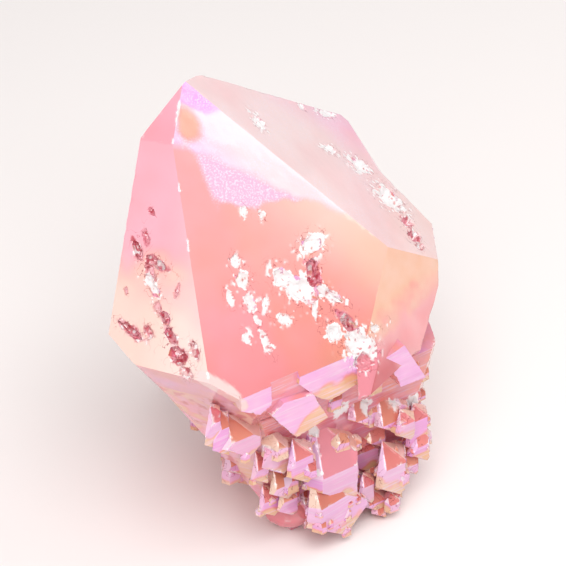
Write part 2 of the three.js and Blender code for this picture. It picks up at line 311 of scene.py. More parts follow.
# %% [markdown]
# ## A finer skin
# Striations, chips and worn edges need corners to move, and a flat facet has none inside it. Blender's
# Subdivide would keep the long thin triangles, and Remesh would round the edges. So each facet is filled
# again: its outline is split into short steps that it shares with its neighbours, a lattice of points is
# laid inside it, and a Delaunay triangulation joins them. The lattice is finest at the chips and on the
# striped prism, and coarse on the back.

# %% Chips and pits
# Each lies in one of the three front faces: its middle across and up the face, its half length and width, and
# how its length is turned, in mm and degrees. "white" is a bright break, its white partly a painted
# highlight, and "dark" a deep crevice, darkened with painted shade.
CUT_CHIPS = [  # these are cut in the solid too
    (FRONT, (-1.9, 6.4), (1.6, 1.1), 7, "white"),
    (FRONT, (-3.0, 3.3), (1.9, 0.9), 71, "dark"),
    (FRONT, (-7.0, 4.0), (1.6, 1.0), -59, "white"),
    (FRONT, (-5.2, 1.8), (2.6, 1.4), -44, "white"),
    (FRONT, (-2.0, 0.1), (2.1, 0.6), -48, "white"),
    (FRONT, (-12.2, 5.6), (1.1, 0.9), 88, "white"),
    (FRONT, (-12.4, 2.8), (1.2, 0.7), 99, "white"),
    (FRONT, (-3.4, -4.4), (1.1, 1.0), -20, "white"),
    (FRONT, (-0.7, -7.0), (2.3, 1.6), -49, "white"),
    (FRONT, (-0.9, -4.7), (1.7, 0.7), -64, "dark"),
    (FRONT, (5.8, -6.5), (0.9, 0.6), -39, "white"),
    (LEFT, (-11.2, 3.8), (1.4, 0.5), 125, "dark"),
    (LEFT, (-8.6, 2.9), (1.6, 0.6), -20, "dark"),
    (LEFT, (-8.4, 0.0), (1.8, 0.6), -43, "white"),
    (LEFT, (-5.9, -3.3), (1.0, 0.5), -55, "dark"),
    (LEFT, (-4.7, -5.2), (1.2, 0.5), -45, "dark"),
    (LEFT, (-3.3, -7.3), (1.5, 0.9), -35, "dark"),
    (LEFT, (-9.9, -5.7), (2.1, 0.5), -23, "dark"),
    (RIGHT, (9.3, 2.0), (1.8, 1.2), -73, "white"),
    (RIGHT, (6.2, -2.7), (2.2, 1.9), -73, "white"),
    (RIGHT, (3.4, -5.3), (0.9, 1.3), -129, "dark"),
    (RIGHT, (1.2, -6.2), (1.0, 1.3), -129, "dark"),
]
FINE_CHIPS = [  # too small for the solid: their depth, in mm, is pressed into the finer skin below
    (FRONT, (-8.6, 13.0), (0.7, 0.4), 77, 0.3, "white"),
    (FRONT, (-6.6, 12.0), (0.6, 0.4), 88, 0.3, "white"),
    (FRONT, (-12.3, 7.9), (0.8, 0.7), 99, 0.35, "white"),
    (FRONT, (-12.4, 0.5), (0.7, 0.4), 99, 0.3, "white"),
    (FRONT, (-14.7, 4.2), (0.9, 0.4), 88, 0.3, "white"),
    (FRONT, (-10.7, 1.8), (0.8, 0.4), 72, 0.3, "white"),
    (FRONT, (-4.6, -1.3), (1.4, 0.45), 77, 0.35, "white"),
    (FRONT, (-8.8, -0.5), (1.1, 0.6), -2, 0.35, "white"),
    (FRONT, (-14.4, -1.0), (0.8, 0.45), 88, 0.3, "white"),
    (FRONT, (-12.3, -2.4), (1.3, 0.5), 94, 0.35, "white"),
    (FRONT, (2.1, -5.8), (0.9, 0.4), -29, 0.35, "white"),
    (FRONT, (-1.3, -3.3), (1.3, 0.7), -59, 0.5, "dark"),
    (FRONT, (-0.5, -9.3), (1.3, 0.9), -39, 0.5, "white"),
    (LEFT, (-10.5, 5.4), (1.1, 0.4), 109, 0.4, "dark"),
    (LEFT, (-9.1, 1.6), (1.0, 0.6), -45, 0.4, "dark"),
    (LEFT, (-7.1, -2.1), (0.7, 0.5), -45, 0.4, "dark"),
    (LEFT, (-2.1, -8.9), (1.1, 0.6), -35, 0.4, "dark"),
    (LEFT, (-7.8, -5.2), (0.8, 0.5), -55, 0.4, "dark"),
    (LEFT, (-11.5, -1.2), (0.4, 0.2), 104, 0.3, "dark"),
    (LEFT, (-5.2, 0.4), (0.8, 0.2), 88, 0.3, "dark"),
    (LEFT, (-1.4, -6.1), (1.1, 0.4), -55, 0.3, "dark"),
    (LEFT, (-10.5, 8.6), (0.6, 0.2), -45, 0.3, "dark"),
    (RIGHT, (14.3, 11.2), (0.7, 0.5), -151, 0.25, "white"),
    (RIGHT, (16.6, 7.0), (1.5, 0.7), -54, 0.25, "white"),
    (RIGHT, (8.4, 7.1), (1.4, 0.7), -60, 0.3, "white"),
    (RIGHT, (-0.1, -7.2), (0.5, 1.0), -129, 0.4, "dark"),
    (RIGHT, (3.3, 19.2), (1.3, 0.9), -150, 0.25, "white"),
]
ALL_CHIPS = CUT_CHIPS + [chip[:4] + chip[5:] for chip in FINE_CHIPS]  # without the depth
print(len(CUT_CHIPS), "chips cut in the solid and", len(FINE_CHIPS), "finer ones")


# %% How near each chip a point is
def chip_reach(points, side, at, half, turn, thick=1.6):
    """The distance from a chip's middle as a share of its half sizes: 1 on its rim, less inside it. Points
    that lie more than `thick` mm out of the face count as far away."""
    x, y, out = on_face(points, side)
    t = math.radians(turn)
    along = ((x - at[0]) * math.cos(t) + (y - at[1]) * math.sin(t)) / half[0]
    aside = ((y - at[1]) * math.cos(t) - (x - at[0]) * math.sin(t)) / half[1]
    return np.where(np.abs(out) < thick, np.hypot(along, aside), 99.0)


def nearest_chip(points, chips, kind=None):
    """The least reach over the chips of a kind, or over all of them, for each point."""
    reach = np.full(len(points), 99.0)
    for chip in chips:
        if kind in (None, chip[-1]):
            reach = np.minimum(reach, chip_reach(points, *chip[:4]))
    return reach


# %% Where the skin has to be fine
FINE, MIDDLE, COARSE = 0.16, 0.32, 0.64  # mm from point to point of the lattice: each is twice the last
FOOT_TOP = 24.0  # mm: the skirt of small points is lower than this


def faces_front(normals):
    """How much a facet looks to the front: the cosine of the angle from its normal to the front's middle."""
    return normals @ looking(25.0, 35.0)


def wanted_step(points, normals):
    """The lattice step wanted at each point: fine at chips and on the striped upright faces in front, middle
    on the rest of the front, coarse behind."""
    step = np.where(faces_front(normals) > -0.1, MIDDLE, COARSE)
    upright = (np.abs(normals[..., 2]) < 0.2) & (faces_front(normals) > 0.4) & (points[..., 2] > FOOT_TOP - 6)
    return np.where(upright | (nearest_chip(points, ALL_CHIPS) < 1.5), FINE, step)


# %% Filling the facets
random = np.random.default_rng(11)
SMALL = 0.01  # mm2: a facet that is smaller keeps its own triangles, and its edges aren't split
ROW = 0.866  # the rows of a triangular lattice are this share of a step apart
BATCH = 256  # edges or points that are compared at once, to save memory


def split_edges(points, sides, beside):
    """The outline edges, where two facets meet, each split into equal steps. Returns all the points and, for
    each short edge, its two corners and the two facets beside it."""
    a, b = points[sides[:, 0]], points[sides[:, 1]]
    middle = (a + b) / 2
    step = np.minimum(*(wanted_step(middle, normal_of[beside[:, k]]) for k in (0, 1))) * 1.25
    count = np.maximum(1, np.ceil(np.linalg.norm(b - a, axis=1) / step)).astype(int)
    count[(area_of[beside] < SMALL).any(axis=1)] = 1
    edge = np.repeat(np.arange(len(sides)), count)
    place = np.arange(len(edge)) - np.repeat(np.cumsum(count) - count, count)
    inner = place > 0
    fresh = np.zeros(len(edge), dtype=int)
    fresh[inner] = len(points) + np.arange(inner.sum())
    share = (place / count[edge])[inner, None]
    added = a[edge[inner]] * (1 - share) + b[edge[inner]] * share
    start = np.where(inner, fresh, sides[edge, 0])
    end = np.where(place == count[edge] - 1, sides[edge, 1], np.roll(fresh, -1))
    return np.vstack([points, added]), np.column_stack([start, end]), beside[edge]


def inside(places, starts, ends):
    """Which points of a plane lie inside an outline: a line to one side of them crosses it an odd number of
    times."""
    x, y = places[:, :1], places[:, 1:]
    crossed = np.zeros(len(places), dtype=int)
    for first in range(0, len(starts), BATCH):
        (ax, ay), (bx, by) = starts[first : first + BATCH].T, ends[first : first + BATCH].T
        rising = np.where(by == ay, 1.0, by - ay)
        crossed += (((ay > y) != (by > y)) & (x < ax + (y - ay) / rising * (bx - ax))).sum(axis=1)
    return crossed % 2 == 1


def lattice(low, high):
    """A triangular lattice over a box in the plane, with the row and column numbers of its points."""
    rows = np.arange(math.floor(low[1] / FINE / ROW), math.ceil(high[1] / FINE / ROW) + 1)
    columns = np.arange(math.floor(low[0] / FINE), math.ceil(high[0] / FINE) + 1)
    column, row = (grid.ravel() for grid in np.meshgrid(columns, rows))
    return np.column_stack([(column + 0.5 * (row % 2)) * FINE, row * FINE * ROW]), row, column


def inner_points(outline, edges, normal, origin, across, up):
    """The lattice points that a facet takes: the ones in it, thinned to the wanted step, and clear of its
    outline, with a small random shift so that no rows show."""
    places, row, column = lattice(outline.min(axis=0), outline.max(axis=0))
    world = origin + places[:, :1] * across + places[:, 1:] * up
    step = wanted_step(world, np.broadcast_to(normal, world.shape))
    every = (step / FINE).round().astype(int)
    keep = (row % every == 0) & ((column + (row // every) % 2 * (every // 2)) % every == 0)
    places, step = places[keep], step[keep]
    keep = inside(places, outline[edges[:, 0]], outline[edges[:, 1]])
    places, step = places[keep], step[keep]
    for first in range(0, len(outline), BATCH):
        if len(places):
            gap = np.linalg.norm(places[:, None] - outline[None, first : first + BATCH], axis=2).min(axis=1)
            places, step = places[gap > 0.6 * step], step[gap > 0.6 * step]
    return places + random.uniform(-0.12, 0.12, places.shape) * step[:, None]


def kept_inside(made, outline_edges, code):
    """The triangles inside an outline. Triangles with no outline edge between them make one group. The far
    side of the triangulation's own rim is outside, and each outline edge that is crossed changes outside to
    inside or back. `code` makes one number of an edge's two corners: the first times it, plus the second."""
    sides = np.sort(np.concatenate([made[:, [0, 1]], made[:, [1, 2]], made[:, [2, 0]]]), axis=1)
    number, owner = sides[:, 0] * code + sides[:, 1], np.tile(np.arange(len(made)), 3)
    order = np.argsort(number, kind="stable")
    number, owner = number[order], owner[order]
    fence = np.isin(number, outline_edges[:, 0] * code + outline_edges[:, 1])
    same = number[:-1] == number[1:]
    rim = ~(np.append(same, False) | np.append(False, same))
    one, two, between = owner[:-1][same], owner[1:][same], fence[:-1][same]
    group = gathered(len(made), one[~between], two[~between])
    within = np.full(group.max() + 1, -1)
    within[group[owner[rim]]] = fence[rim]
    pairs = np.column_stack([group[one[between]], group[two[between]]])
    pairs = np.vstack([pairs, pairs[:, ::-1]])
    while True:
        reach = (within[pairs[:, 0]] >= 0) & (within[pairs[:, 1]] < 0)
        if not reach.any():
            return made[within[group] == 1]
        within[pairs[reach, 1]] = 1 - within[pairs[reach, 0]]


def filled(points, triangles, triangle_facet):
    """The finer skin: all the points, the triangles, each triangle's facet, and how many of the points lie on
    the outlines."""
    everything, edges, pairs = split_edges(points, sides, beside)
    on_outline = total = len(everything)
    ring_order = np.argsort(pairs.T.ravel(), kind="stable")
    ring_ends = np.cumsum(np.bincount(pairs.ravel(), minlength=len(area_of)))[:-1]
    rings = np.split(ring_order % len(edges), ring_ends)
    small = area_of[triangle_facet] < SMALL
    parts, owners, added = [triangles[small]], [triangle_facet[small]], []
    for facet in np.flatnonzero(area_of >= SMALL):
        normal = normal_of[facet]
        across = np.cross([0.0, 0.0, 1.0] if abs(normal[2]) < 0.9 else [1.0, 0.0, 0.0], normal)
        across /= np.linalg.norm(across)
        up = np.cross(normal, across)
        corners, local = np.unique(edges[rings[facet]], return_inverse=True)
        local = local.reshape(-1, 2)
        origin = everything[corners[0]]
        outline = (everything[corners] - origin) @ np.column_stack([across, up])
        places = inner_points(outline, local, normal, origin, across, up)
        both = np.vstack([outline, places])
        _, _, cells, origins = delaunay_2d_cdt(both.tolist(), local.tolist(), [], 0, 1e-7)[:4]
        source = np.array([ids[0] if ids else -1 for ids in origins])
        home = np.full(len(both), -1)
        home[source] = np.arange(len(source))
        made = np.array([cell for cell in cells if len(cell) == 3])
        made = kept_inside(made, np.sort(home[local], axis=1), len(source))
        inner = total + source - len(corners)
        number = np.where(source < len(corners), corners[np.clip(source, 0, len(corners) - 1)], inner)
        parts.append(number[made])
        owners.append(np.full(len(made), facet))
        added.append(origin + places[:, :1] * across + places[:, 1:] * up)
        total += len(places)
    return np.vstack([everything] + added), np.vstack(parts), np.concatenate(owners), on_outline


fine_points, fine_triangles, facet, on_outline = filled(points, triangles, labels[face])
print(len(fine_points), "points and", len(fine_triangles), "triangles in the finer skin")

# %% [markdown]
# ## Relief
# The solid's faces are perfectly flat, and real ones are not. Prism faces carry fine level steps, left as
# the crystal grew. The big faces wave very slightly. A chip has a ragged rim and a crusty floor, and every
# ridge has lost some splinters. Each is a small distance along the skin's own normal, found for all points
# at once. A displacement texture could do as much, but here the same formulas also tell the material where
# the chips are.


# %% Smooth random values
GRID = 32  # random values along each side of the grid, which then repeats


def noise(points, size, seed=0):
    """Smooth values from -1 to 1. A seeded grid of random values, `size` mm apart, is read between its points
    with an eased blend. A size of three numbers stretches the pattern along the axes."""
    grid = np.random.default_rng(seed).uniform(-1, 1, (GRID, GRID, GRID))
    place = points / size + 1000.0  # never negative
    whole = np.floor(place).astype(int)
    t = place - whole
    t = t * t * (3 - 2 * t)
    value = np.zeros(len(points))
    for corner in product((0, 1), repeat=3):
        i, j, k = ((whole + corner) % GRID).T
        value += np.where(corner, t, 1 - t).prod(axis=1) * grid[i, j, k]
    return value


def rough(points, size, seed=0, times=3):
    """Noise with finer and weaker noise on it: each turn has half the size and half the strength."""
    return sum(noise(points, np.divide(size, 2.0**k), seed + k) * 0.5**k for k in range(times))


def eased(values, low, high):
    """0 below `low`, 1 above `high`, and an S-shaped rise between them."""
    t = np.clip((values - low) / (high - low), 0, 1)
    return t * t * (3 - 2 * t)


# %% Normals
face_normals, face_areas = normals_of(fine_points, fine_triangles)
facet_area = np.bincount(facet, face_areas)
facet_normal = np.stack([np.bincount(facet, face_normals[:, k] * face_areas) for k in range(3)], axis=1)
facet_normal /= np.linalg.norm(facet_normal, axis=1)[:, None]
point_normal = np.zeros_like(fine_points)
for k in range(3):
    np.add.at(point_normal, fine_triangles[:, k], facet_normal[facet] * face_areas[:, None])
point_area = np.bincount(fine_triangles.ravel(), np.repeat(face_areas, 3), minlength=len(fine_points))
agree = np.linalg.norm(point_normal, axis=1) / np.maximum(point_area, 1e-12)  # 1 where the skin is flat
point_normal /= np.maximum(np.linalg.norm(point_normal, axis=1), 1e-12)[:, None]
slope_round = np.zeros(len(fine_points))  # below 0 on a ridge, where all round a point the skin falls away
for k in range(3):
    corner = fine_triangles[:, k]
    to_middle = fine_points[fine_triangles].mean(axis=1) - fine_points[corner]
    np.add.at(slope_round, corner, (to_middle * point_normal[corner]).sum(axis=1) * face_areas)
print("largest facets, mm2:", np.sort(facet_area)[::-1][:6].round(0))

# %% The distance that each point moves, in mm
place = fine_points
outline_point = (np.arange(len(place)) < on_outline).astype(float)
big = np.zeros(len(place))
np.maximum.at(big, fine_triangles.ravel(), np.repeat(facet_area[facet], 3))
plain = eased(big, 20.0, 120.0)
upright = eased(np.abs(point_normal[:, 2]), 0.35, 0.15)

waves = plain * (0.03 * rough(place, 5.0, seed=1) + 0.006 * rough(place, 0.7, seed=4))
steps = 0.07 * upright * rough(place, (9.0, 9.0, 0.75), seed=7, times=2)
ragged = 0.5 * rough(place, (0.8, 0.8, 1.3), seed=12)
cut_reach = nearest_chip(place, CUT_CHIPS) + ragged
crust = 0.2 * eased(cut_reach, 1.25, 0.9) * rough(place, 0.8, seed=16)
pits, grit = np.zeros(len(place)), 1 + 0.4 * rough(place, 0.5, seed=20)
for side, at, half, turn, depth, _ in FINE_CHIPS:
    reach = chip_reach(place, side, at, half, turn) + ragged
    pits = np.minimum(pits, -depth * eased(reach, 1.15, 0.75) * grit)
splinters = eased(rough(place, 1.3, seed=24), 0.25, 0.9)
sharp = outline_point * eased(agree, 0.998, 0.97) * (slope_round < 0)
wear = -sharp * (0.03 - 0.02 * plain + (0.22 - 0.17 * plain) * splinters)
move = waves + steps + crust + pits + wear
print("moves from", move.min().round(3), "to", move.max().round(3), "mm")

# %% The worn skin, kept inside the solid's own box
skin = np.clip(place + move[:, None] * point_normal, points.min(axis=0), points.max(axis=0))
print("worn skin, mm:", skin.min(axis=0).round(2), skin.max(axis=0).round(2))

# %% [markdown]
# ## The film's colours
# The film is a few hundred atoms thick. Light that comes back from its two sides adds up for some colours
# and cancels for others, so the colour follows the thickness: gold where it is thin, then orange, rose,
# pink, magenta and lilac. A face that looked to the hot metal vapour took more of it, which is why the
# parallel faces of all the small points share a colour. Here `film` is that thickness, from 0 to 1. Six
# more values go with it: a pale one where little of the film shows, which also carries a painted sheen and
# a painted reflection; a deep one where the colour sinks into the stone, which also carries painted shade
# in crevices, in gaps and on heads under the overhang; a frost one where the skin is broken to white, which
# also carries painted glints and highlights; and `broken`, `striped` and a sparkle one where fine cracks,
# lines of growth and painted sparkle lie. A painted image would need the skin laid out flat. Instead each
# corner of each triangle has its own values, so that colours stop at edges.

# %% Each triangle corner's place and facet
corner_place = skin[fine_triangles].reshape(-1, 3)
corner_facet = np.repeat(facet, 3)
corner_normal, corner_area = facet_normal[corner_facet], facet_area[corner_facet]
facet_count = len(facet_area)
facet_chances = np.random.default_rng(5).uniform(0, 1, (facet_count, 4))
film_chance, pale_chance, deep_chance, kind_chance = facet_chances[corner_facet].T
facet_low, facet_high = np.full(facet_count, 1e9), np.full(facet_count, -1e9)
np.minimum.at(facet_low, corner_facet, corner_place[:, 2])
np.maximum.at(facet_high, corner_facet, corner_place[:, 2])
facet_height = np.maximum(facet_high - facet_low, 0.3)  # mm
rise = (corner_place[:, 2] - facet_low[corner_facet]) / facet_height[corner_facet]
print(facet_count, "facets, of which", (facet_area > 5).sum(), "are larger than 5 mm2")

# %% Painting
values = dict.fromkeys(("film", "pale", "deep", "frost", "broken", "striped", "spark"), 0.0)
print(len(values), "values for each of", len(corner_place), "corners")


def paint(share, **wanted):
    """Moves some of the values towards the wanted ones, by a share of the way from 0 to 1 at each corner."""
    for name, value in wanted.items():
        values[name] = values[name] + (value - values[name]) * share


def at_least(**wanted):
    """Raises some of the values where they are below the wanted ones."""
    for name, value in wanted.items():
        values[name] = np.maximum(values[name], value)


def like(side, low=0.93):
    """How much each corner's facet is parallel to a face of the big crystal, from 0 to 1."""
    return eased(corner_normal @ looking(*side[:2]), low, low + 0.05)


def parallel(side):
    """Where a corner's facet is parallel to a face of the big crystal, within 3.6 degrees."""
    return corner_normal @ looking(*side[:2]) > 0.998


def lies_in(*sides):
    """Where a corner lies in one of these faces: parallel to it, within 0.7 mm of it, on a large facet."""
    near = [(np.abs(on_face(corner_place, side)[2]) < 0.7) & parallel(side) for side in sides]
    return np.any(near, axis=0) & (corner_area > 12)


# %% [markdown]
# The small points come first. Their heads, which look to the front, are orange to rose, darkened with
# painted shade because they sit under the big crystal's overhanging rim, and that shade is deepest at the
# top. The narrow faces on their left are lilac, with one in five gold, and the ones on their right are
# pale orange. Their upright sides turn from gold low down to lilac. Every facet differs a little, by
# chance.

# %% The small points
patch = rough(corner_place, 2.6, seed=46)
paint(1.0, film=0.45 + 0.3 * patch + 0.2 * film_chance)
paint(1.0, pale=0.15 + 0.5 * pale_chance**2, deep=0.3 * deep_chance)
# painted shade on the heads, under the overhanging rim, deepest at their top
head_deep = 0.15 + 0.4 * deep_chance + 0.25 * (rise - 0.5)
paint(like(FRONT), film=0.2 + 0.3 * film_chance, pale=0.05, deep=head_deep)
gold_or_lilac = np.where(kind_chance < 0.2, 0.1, 0.74 + 0.2 * film_chance)
paint(like(LEFT), film=gold_or_lilac, pale=0.25 + 0.4 * pale_chance, deep=0.03)
pale_orange = 0.15 + 0.3 * film_chance
paint(like(RIGHT, 0.9), film=pale_orange, pale=0.3 + 0.45 * pale_chance, deep=0.1 * deep_chance)
standing = eased(np.abs(corner_normal[:, 2]), 0.35, 0.2)
height_on_it = rise + 0.3 * patch + 0.5 * (kind_chance - 0.5)
side_film = 0.06 + 0.8 * eased(height_on_it, 0.34, 0.52)
paint(standing, film=side_film, pale=0.08 + 0.35 * pale_chance, deep=0.15 * deep_chance)

# %% [markdown]
# Under and between the points, the foot's own slopes are rose. The ones that look left or back are paler,
# with gold, lilac and torn dark patches, which are painted shade of crevices. The widest heads and the
# smooth lump low in front are an even rose.

# %% The slopes between the points, the widest heads and the lump
between = (corner_area > 5) & (corner_place[:, 2] < FOOT_TOP + 3) & (corner_normal[:, 2] < -0.08)
turned_away = eased(corner_normal @ looking(LEFT[0], 0.0), 0.6, 0.8)
turned_away = np.maximum(turned_away, 0.8 * eased(corner_place[:, 1], -8, 2))
slope_pale = 0.1 + 0.2 * patch + 0.25 * turned_away
slope_deep = (0.26 + 0.3 * patch) * (1 - 0.8 * turned_away)
paint(between, film=0.5 + 0.2 * patch - 0.15 * turned_away, pale=slope_pale, deep=slope_deep)
mottled = 0.1 + 0.7 * eased(rough(corner_place, 3.0, seed=51), -0.25, 0.3)
paint(0.7 * between * turned_away, film=mottled)
# torn dark patches: painted crevice shade on the slopes
gaps = between * turned_away * eased(rough(corner_place, (1.1, 1.1, 2.2), seed=49), 0.2, 0.55)
paint(gaps, film=0.5)
at_least(deep=0.45 * gaps)
paint((corner_area > 10) & (like(FRONT) > 0.5), film=0.56, pale=0.14, deep=0.22)
from_lump = np.linalg.norm((corner_place - LUMP_MIDDLE) / LUMP_RADII, axis=1)  # 1 on an ellipsoid round it
lump = np.abs(from_lump - 0.95) < 0.09
paint(lump, film=0.52, pale=0.08 + 0.1 * patch, deep=0.2)
print("on slopes", between.mean().round(3), "and on the lump", lump.mean().round(4), "of the corners")

# %% [markdown]
# The big crystal's head is pink. Its front face is orange, more golden to the right, where the film is
# thinner, rosier along its left edge and deeper low down. It is paler towards the top and towards the ridge
# on its right: a painted sheen.

# %% The big crystal's tip and its front face
cloud, curl = rough(corner_place, 6.0, seed=34), rough(corner_place, 2.4, seed=36)
paint((corner_place[:, 2] > 34) & (corner_area > 3), film=0.7 + 0.1 * cloud, pale=0.45, deep=0.0)
across, up, _ = on_face(corner_place, FRONT)
front = lies_in(FRONT, FRONT_HEAD)
to_ridge = 0.87 * across + 0.49 * up  # 7.7 on the ridge between the front and the right face
thinner = 0.2 * eased(across + 0.5 * up, 0, 8) + 0.1 * eased(up, -2, -8) * eased(across, -9, -4)
front_film = 0.41 + 0.04 * cloud - thinner + 0.07 * eased(across, -9, -13)
# paler up the face and towards the ridge: painted sheen
front_pale = 0.07 + 0.05 * cloud + 0.15 * eased(up, 0, 10) + 0.3 * eased(to_ridge, -3, 6)
paint(front, film=front_film, pale=front_pale, deep=0.2 * eased(up, 1, -9))

# %% [markdown]
# A frosty veil lies on that face under the tip, a painted sheen of reflected light, with painted bright
# speckles of it below. A warm patch is left bare of it, and the tip itself is lilac. Each is an eased step
# across a line, or round a spot, that the noise makes wavy.

# %% The painted sheen, its speckles, the bare patch and the lilac tip
# painted sheen: light reflected from the face under the tip, drawn as pale lilac
veil = front * eased(up + 0.85 * across + 0.7 * curl, 11.2, 12.6)
# painted bright speckles of the sheen below it
speckled = front * eased(up + 0.25 * across + 1.4 * curl, 11.6, 12.8)
speckled *= eased(across, -12.4, -11.4) * (1 - veil)
bare = front * eased(np.hypot((across + 11.2) / 1.8, (up - 25.4) / 2.7) + 0.2 * curl, 1.2, 0.5)
lilac_tip = front * eased(up + 0.9 * across + 0.3 * curl, 17.9, 18.2) * eased(up, 25.2, 25.8)
paint(speckled, film=0.8, pale=0.4)
paint(veil, film=0.9, pale=0.46 + 0.36 * eased(to_ridge, 0, 5))
paint(bare, film=0.28, pale=0.18)
paint(lilac_tip, film=0.86, pale=0.08 + 0.3 * curl)
print("veiled", (veil > 0.5).mean().round(3), "and speckled", (speckled > 0.5).mean().round(3), "of all")

# %% [markdown]
# The left face is pink above and cream below. The right one is the palest, its paleness partly a painted
# reflection of the bright light behind, and pinker far round to the right.

# %% The left and right faces
across, up, _ = on_face(corner_place, LEFT)
left = lies_in(LEFT, LEFT_HEAD)
cream = eased(up + 0.35 * across + 3 * cloud, 2, -5)
left_film = 0.6 + 0.05 * cloud - 0.4 * cream + 0.08 * eased(across, -6, -1)
left_pale = 0.21 + 0.06 * cloud + 0.2 * eased(across, -9, -2) + 0.34 * cream
paint(left, film=left_film, pale=left_pale, deep=0.0)
across, up, _ = on_face(corner_place, RIGHT)
right = lies_in(RIGHT)
far = eased(across + 2 * cloud, 9, 17)
right_film = 0.62 + 0.05 * cloud - 0.14 * eased(up, 4, -6) + 0.1 * far
lower = 0.1 * eased(up, -2, -6) - 0.1 * eased(up, 8, 2)
# pale: partly a painted reflection of the light behind
right_pale = 0.74 + 0.1 * cloud - 0.3 * far * eased(up, -4, 3) + lower
paint(right, film=right_film, pale=right_pale, deep=0.0)

# %% [markdown]
# Under the ridge on the right, a bevel turns from gold to rose. The narrow face between left and front is
# cream. The upright prism is pink, with flat terraces that stand out from it, left as the crystal grew.

# %% The bevel, the narrow face and the prism
across, up, _ = on_face(corner_place, RIDGE_END)
bevel_deep = 0.12 * eased(up, 0, -4) + 0.6 * eased(up, -2, -6) * eased(across, -1, -3)
bevel_film = 0.16 + 0.34 * eased(up + 1.5 * curl, 1.0, -2.5)
paint(lies_in(RIDGE_END), film=bevel_film, pale=0.3 + 0.1 * curl, deep=bevel_deep)
paint(parallel(NARROW) & (corner_place[:, 2] > FOOT_TOP), film=0.25, pale=0.72 + 0.1 * curl, deep=0.0)
flat_place = fine_points[fine_triangles].reshape(-1, 3)  # before the skin was worn
across, up, out = on_face(flat_place, PRISM)
prism = parallel(PRISM) & (flat_place[:, 2] > 19.5) & (out > -0.4)
paint(prism, film=0.6 + 0.12 * curl, pale=0.15, deep=0.14)

# %% The terraces on the prism: lilac, and gold where they are lowest
TERRACES = [  # from and to across the prism face, how far out, the height that gold starts at, and its slope
    (-18.3, -13.6, 0.3, -9.0, 0.0),
    (-14.4, -5.8, 0.9, 6.0, 0.8),
    (-10.1, -0.7, 0.5, 1.2, -0.12),
    (2.9, 9.4, 0.4, -9.0, 0.0),
]
for start, end, proud, gold, slope in TERRACES:
    here = prism & (across > start) & (across < end) & (np.abs(out - proud) < 0.05)
    golden = eased(up - slope * across + 0.9 * curl, gold + 0.5, gold - 0.5)
    paint(here, film=0.86 - 0.74 * golden, pale=0.26 + 0.12 * curl - 0.08 * golden, deep=0.0)
    print("terrace", proud, "mm proud:", here.sum(), "corners")

# %% A worn, pale lens where the left and the front face end
LENS_FROM, LENS_TO = np.array([-9.5, -22.2, 32.8]), np.array([-4.0, -22.5, 28.0])  # mm
LENS_HALF = 1.15  # mm, half its width
line = LENS_TO - LENS_FROM
along = ((corner_place - LENS_FROM) @ line) / (line**2).sum()
aside = np.linalg.norm(corner_place - LENS_FROM - along[:, None] * line, axis=1)
lens = eased(np.hypot(aside / LENS_HALF, 1.6 * along - 0.8) + 0.15 * curl, 1.1, 0.9)
paint(lens, film=0.5, pale=0.75, deep=0.0)

# %% [markdown]
# A chip is white where its fresh break scatters light, and that white is also a painted highlight, with dark
# specks in it and bright flecks round it. A crevice is dark rose, torn, in painted shade, with a few painted
# white glints. The ridges are white where splinters are gone, and that white is also a painted highlight.

# %% Chips, crevices and worn ridges, with painted highlights, shade and glints
ragged = 0.5 * rough(corner_place, (0.8, 0.8, 1.3), seed=12)
white, dark = (nearest_chip(corner_place, ALL_CHIPS, kind) for kind in ("white", "dark"))
flecks = eased(noise(corner_place, (0.4, 0.4, 0.7), 41), 0.4, 0.5) * eased(white, 2.3, 1.3)
specks = eased(noise(corner_place, 0.35, 40), 0.45, 0.6)
# white breaks: the film is gone, and the white is also a painted highlight
at_least(frost=np.maximum(eased(white + ragged, 1.08, 0.98) * (1 - 0.8 * specks), flecks))
at_least(deep=0.6 * specks * eased(white + ragged, 1.2, 1.0))
torn = eased(rough(corner_place, (0.45, 0.45, 0.9), seed=44), 0.0, 0.5)
# painted white glints in the crevices
glints = eased(noise(corner_place, (0.5, 0.5, 1.2), 47), 0.45, 0.55)
# dark crevices: painted shade
crevice = eased(dark + ragged, 1.25, 0.9)
paint(crevice, film=0.6)
at_least(deep=crevice * (0.2 + 0.7 * torn), frost=crevice * glints)
# white on worn ridges, which is also a painted highlight along them
ridge = 0.8 * sharp[fine_triangles].reshape(-1) * (1 - 0.9 * eased(corner_area, 20, 120))
at_least(frost=ridge * splinters[fine_triangles].reshape(-1))

# %% Painted glints between the small points: white spots, drawn like broken corners
BROKEN_CORNERS = [  # their places and radii in mm
    ((7.9, -10.6, 18.0), 1.0),
    ((10.9, -9.0, 17.0), 0.8),
    ((14.4, -6.2, 15.5), 0.8),
    ((16.9, -4.0, 14.3), 1.0),
    ((4.6, -12.8, 16.0), 0.7),
    ((4.9, -16.0, 12.3), 0.6),
]
# painted glints: white spots where light catches the small points
for spot, radius in BROKEN_CORNERS:
    reach = np.linalg.norm(corner_place - spot, axis=1) / radius
    at_least(frost=eased(reach + 1.5 * ragged, 1.05, 0.95) * (1 - 0.7 * specks))
print("frosted share", (values["frost"] > 0.5).mean().round(3))

# %% Where cracks, lines of growth and painted sparkle lie
foot = eased(corner_place[:, 2], FOOT_TOP - 2, FOOT_TOP - 7) * ~(front | left | right)
small_in_foot = foot * eased(corner_area, 5, 1.5) * ~lump
cracked = np.maximum(small_in_foot, eased(np.minimum(white, dark), 2.5, 1.2))
paint(1.0, broken=cracked, striped=standing * eased(corner_area, 1.0, 5.0) * ~lump)
in_veil = 0.6 * veil * eased(curl, 0.7, -0.2) * (1 - bare)
